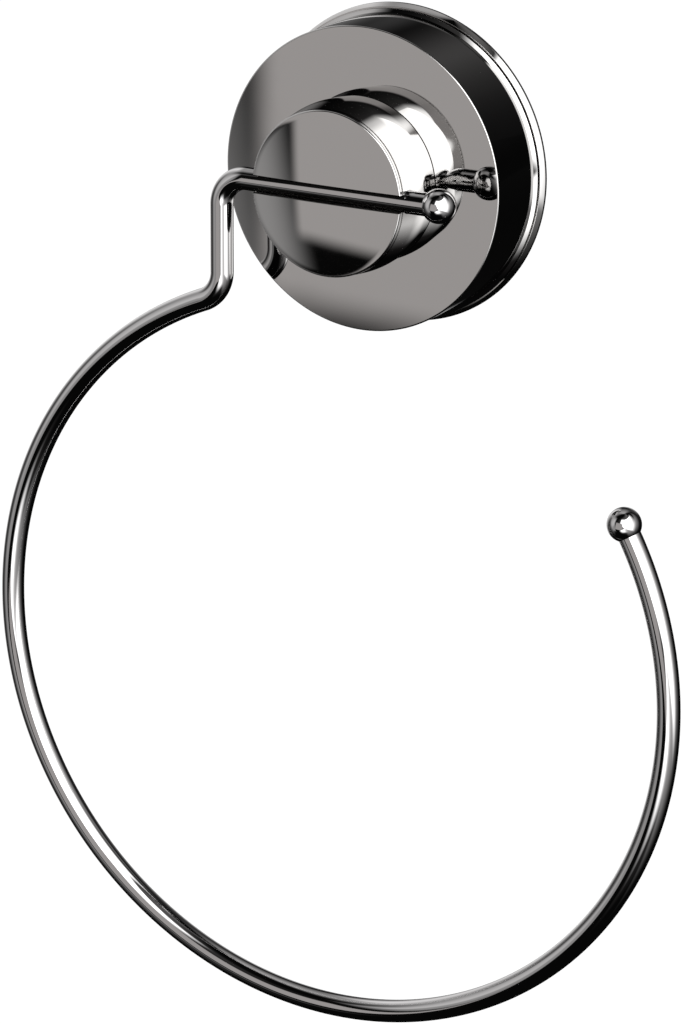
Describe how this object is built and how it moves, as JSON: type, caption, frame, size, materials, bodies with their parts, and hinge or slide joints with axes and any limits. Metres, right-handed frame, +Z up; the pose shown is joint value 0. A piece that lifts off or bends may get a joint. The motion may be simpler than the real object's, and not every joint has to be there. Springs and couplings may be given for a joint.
{
  "type": "towel ring",
  "caption": "Wall towel ring: an open bent-wire loop with ball ends swings in the slot of a quarter-turn knob, on a round suction base with a stepped chrome cover.",
  "frame": {"origin": "on the knob's axis, in the plane of the wall that the base is pressed on", "axes": "+Y points into the wall, -Y out of it towards the user, +Z up, +X to the right seen from the front"},
  "size_m": [0.169, 0.0339, 0.2231],
  "materials": {
    "chrome_plate": "mirror-bright decorative chrome plate",
    "chrome_wire": "bright chrome plate on drawn and polished wire",
    "zinc_casting": "plain zinc die casting",
    "steel_pin": "ground dowel pin",
    "acetal": "natural acetal, moulded",
    "soft_vinyl": "soft clear vinyl, glossy on the wall side"
  },
  "bodies": {
    "base": {"cover_shell": "chrome_plate", "base_ring": "chrome_plate", "thrust_washer": "acetal"},
    "stem": {"suction_cup": "soft_vinyl", "cup_stem": "zinc_casting", "cross_pin": "steel_pin"},
    "knob": {"knob_drum": "chrome_plate", "cam_ring": "acetal"},
    "ring": {"ring_wire": "chrome_wire", "bar_end_ball": "chrome_wire", "ring_end_ball": "chrome_wire"}
  },
  "joints": [
    {"name": "knob_turn", "type": "hinge", "parent": "base", "child": "knob", "pos_m": [0, -0.0264, 0], "axis": [0, -1, 0], "range_deg": [0, 90]},
    {"name": "cup_draw", "type": "slide", "parent": "base", "child": "stem", "axis": [0, 1, 0], "range_m": [0, 0.002], "deforming": ["suction_cup"]},
    {"name": "ring_swing", "type": "hinge", "parent": "knob", "child": "ring", "pos_m": [0, -0.0302, 0], "axis": [-1, 0, 0], "range_deg": [-8.5, 188.5]}
  ],
  "couplings": [
    {"joint": "cup_draw", "follows": "knob_turn", "m_per_rad": 0.001273}
  ]
}
